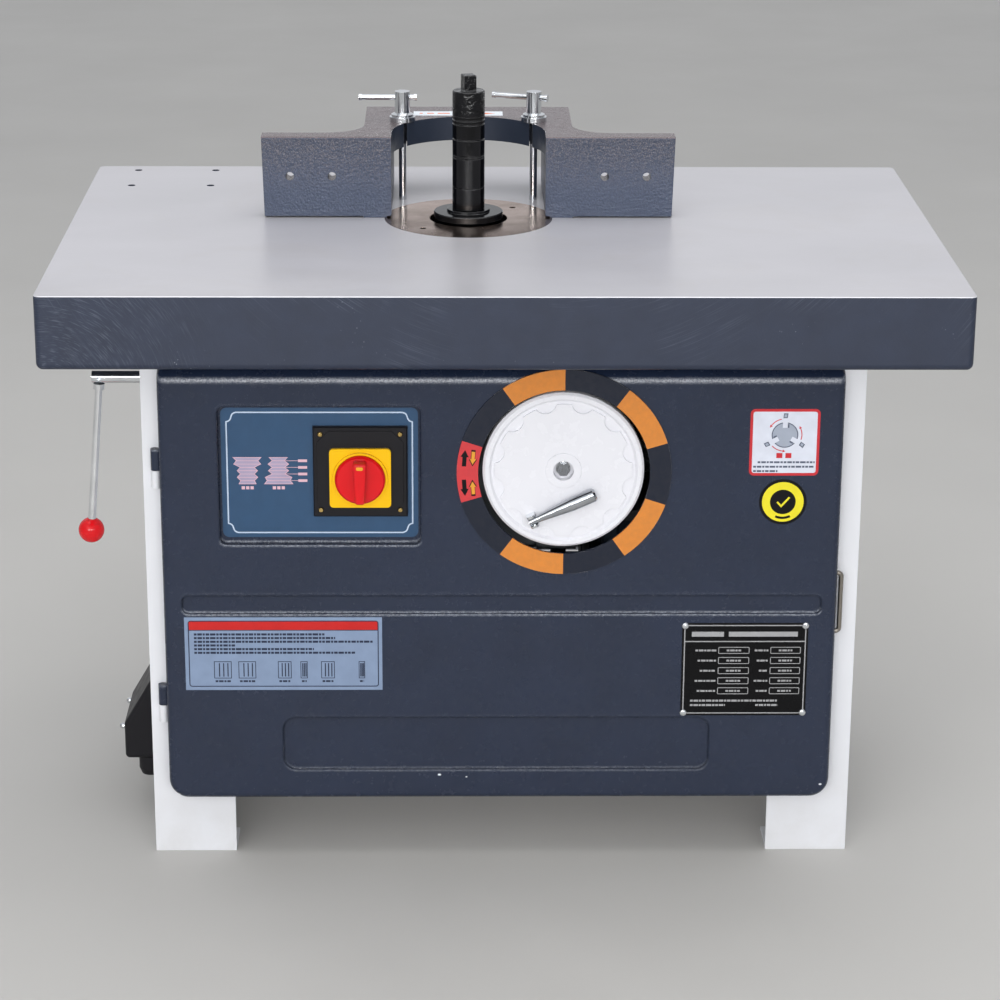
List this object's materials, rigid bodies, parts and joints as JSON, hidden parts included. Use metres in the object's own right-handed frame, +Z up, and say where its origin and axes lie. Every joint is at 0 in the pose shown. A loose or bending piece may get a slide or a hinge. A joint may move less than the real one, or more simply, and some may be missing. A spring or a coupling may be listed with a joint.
{
  "type": "spindle moulder",
  "caption": "Floor-standing spindle moulder: cast table on a sheet cabinet, slotted arch fence, stacked spindle, hinged door, rise-and-fall handwheel and lock lever.",
  "frame": {"origin": "on the floor under the middle of the table", "axes": "+X to the operator's right along the table, +Y to the back, +Z up"},
  "size_m": [1.1, 0.7, 0.951],
  "materials": {
    "cast_table": "ground top, painted rim",
    "ground_steel": "turned and ground",
    "cabinet_white": "satin powder coat",
    "door_grey": "fine textured powder coat",
    "dial_print": "printed ring",
    "fence_hammer": "hammered paint",
    "black_steel": "black oxide",
    "bright_steel": "bright zinc",
    "white_plastic": "smooth",
    "red_plastic": "smooth",
    "yellow_plastic": "smooth",
    "black_plastic": "fine texture",
    "brass": "plain",
    "grey_cast": "machined ways, painted casting",
    "motor_paint": "smooth paint",
    "rubber": "matt"
  },
  "bodies": {
    "frame": {"table": "cast_table", "table_insert_ring": "ground_steel", "cabinet_left_side": "cabinet_white", "cabinet_right_side": "cabinet_white", "cabinet_back": "cabinet_white", "cabinet_floor": "cabinet_white", "cabinet_front_rails": "cabinet_white", "rear_cover": "cabinet_white", "rear_cover_screws": "bright_steel", "table_bolts": "bright_steel", "guide_bracket": "grey_cast", "gib_strip": "ground_steel", "gear_bracket": "grey_cast", "hinge_lower_barrels": "cabinet_white", "connection_box": "black_plastic", "connection_box_screws": "bright_steel", "cable_gland": "black_plastic", "fence_studs": "bright_steel", "clamp_washers": "bright_steel"},
    "door": {"door": "door_grey", "dial_ring": "dial_print", "door_pull": "bright_steel", "hinge_upper_barrels": "black_steel", "switch_plate": "black_plastic", "switch_bezel": "yellow_plastic", "switch_screws": "brass", "switch_block": "black_plastic"},
    "switch_knob": {"switch_knob": "red_plastic"},
    "fence": {"fence": "fence_hammer"},
    "clamp_nut_left": {"clamp_nut_left": "bright_steel"},
    "clamp_nut_right": {"clamp_nut_right": "bright_steel"},
    "tommy_bar_left": {"tommy_bar_left": "bright_steel"},
    "tommy_bar_right": {"tommy_bar_right": "bright_steel"},
    "carriage": {"spindle_carriage": "grey_cast", "spindle_bearings": "ground_steel", "bearing_caps": "grey_cast", "lead_screw_nut": "brass", "motor_plate": "grey_cast", "motor": "motor_paint", "motor_fan_cover": "motor_paint", "motor_bolts": "bright_steel", "drive_belt": "rubber"},
    "spindle": {"spindle_shaft": "black_steel", "spindle_flange": "black_steel", "spacer_rings": "black_steel", "spindle_nut": "black_steel", "spindle_pulley": "grey_cast"},
    "motor_rotor": {"motor_shaft": "ground_steel", "motor_pulley": "grey_cast"},
    "handwheel": {"handwheel": "white_plastic", "handwheel_screw": "bright_steel", "handwheel_shaft": "ground_steel", "wheel_bevel_gear": "ground_steel", "crank_bracket": "bright_steel"},
    "crank_handle": {"crank_handle": "bright_steel"},
    "lead_screw": {"lead_screw": "ground_steel", "screw_bevel_gear": "ground_steel"},
    "lock_lever": {"lock_shaft": "bright_steel", "lever_rod": "bright_steel", "lever_ball": "red_plastic"}
  },
  "joints": [
    {"name": "door_hinge", "type": "hinge", "parent": "frame", "child": "door", "pos_m": [-0.426, -0.236, 0.35], "axis": [0, 0, -1], "range_deg": [0, 105]},
    {"name": "switch_turn", "type": "hinge", "parent": "door", "child": "switch_knob", "pos_m": [-0.175, -0.259, 0.512], "axis": [0, 1, 0], "range_deg": [0, 90]},
    {"name": "fence_slide", "type": "slide", "parent": "frame", "child": "fence", "axis": [0, 1, 0], "range_m": [-0.014, 0.014]},
    {"name": "clamp_turn_left", "type": "hinge", "parent": "frame", "child": "clamp_nut_left", "pos_m": [-0.128, 0.151, 0.89], "axis": [0, 0, 1], "range_deg": [-180, 180]},
    {"name": "clamp_turn_right", "type": "hinge", "parent": "frame", "child": "clamp_nut_right", "pos_m": [0.044, 0.151, 0.89], "axis": [0, 0, 1], "range_deg": [-180, 180]},
    {"name": "bar_slide_left", "type": "slide", "parent": "clamp_nut_left", "child": "tommy_bar_left", "axis": [1, 0, 0], "range_m": [-0.004, 0.042]},
    {"name": "bar_slide_right", "type": "slide", "parent": "clamp_nut_right", "child": "tommy_bar_right", "axis": [0.9397, -0.342, 0], "range_m": [-0.004, 0.042]},
    {"name": "handwheel_turn", "type": "hinge", "parent": "frame", "child": "handwheel", "pos_m": [0.0725, -0.118, 0.523], "axis": [0, 1, 0], "range_deg": [-3601, 2161]},
    {"name": "crank_fold", "type": "hinge", "parent": "handwheel", "child": "crank_handle", "pos_m": [0.0355, -0.2699, 0.461], "axis": [0.4147, 0, -0.91], "range_deg": [0, 90]},
    {"name": "screw_turn", "type": "hinge", "parent": "frame", "child": "lead_screw", "pos_m": [0.0725, -0.118, 0.4], "axis": [0, 0, 1], "range_deg": [-2161, 3601]},
    {"name": "carriage_slide", "type": "slide", "parent": "frame", "child": "carriage", "axis": [0, 0, 1], "range_m": [-0.05, 0.03]},
    {"name": "motor_spin", "type": "hinge", "parent": "carriage", "child": "motor_rotor", "pos_m": [0.205, 0.07, 0.45], "axis": [0, 0, 1], "continuous": true},
    {"name": "spindle_spin", "type": "hinge", "parent": "carriage", "child": "spindle", "pos_m": [-0.042, 0.045, 0.7], "axis": [0, 0, 1], "continuous": true},
    {"name": "lock_turn", "type": "hinge", "parent": "frame", "child": "lock_lever", "pos_m": [-0.3, -0.147, 0.608], "axis": [1, 0, 0], "range_deg": [-60, 60]}
  ],
  "couplings": [
    {"joint": "handwheel_turn", "follows": "carriage_slide", "rad_per_m": 1256.6},
    {"joint": "screw_turn", "follows": "carriage_slide", "rad_per_m": -1256.6},
    {"joint": "spindle_spin", "follows": "motor_spin", "ratio": 1.8493}
  ]
}
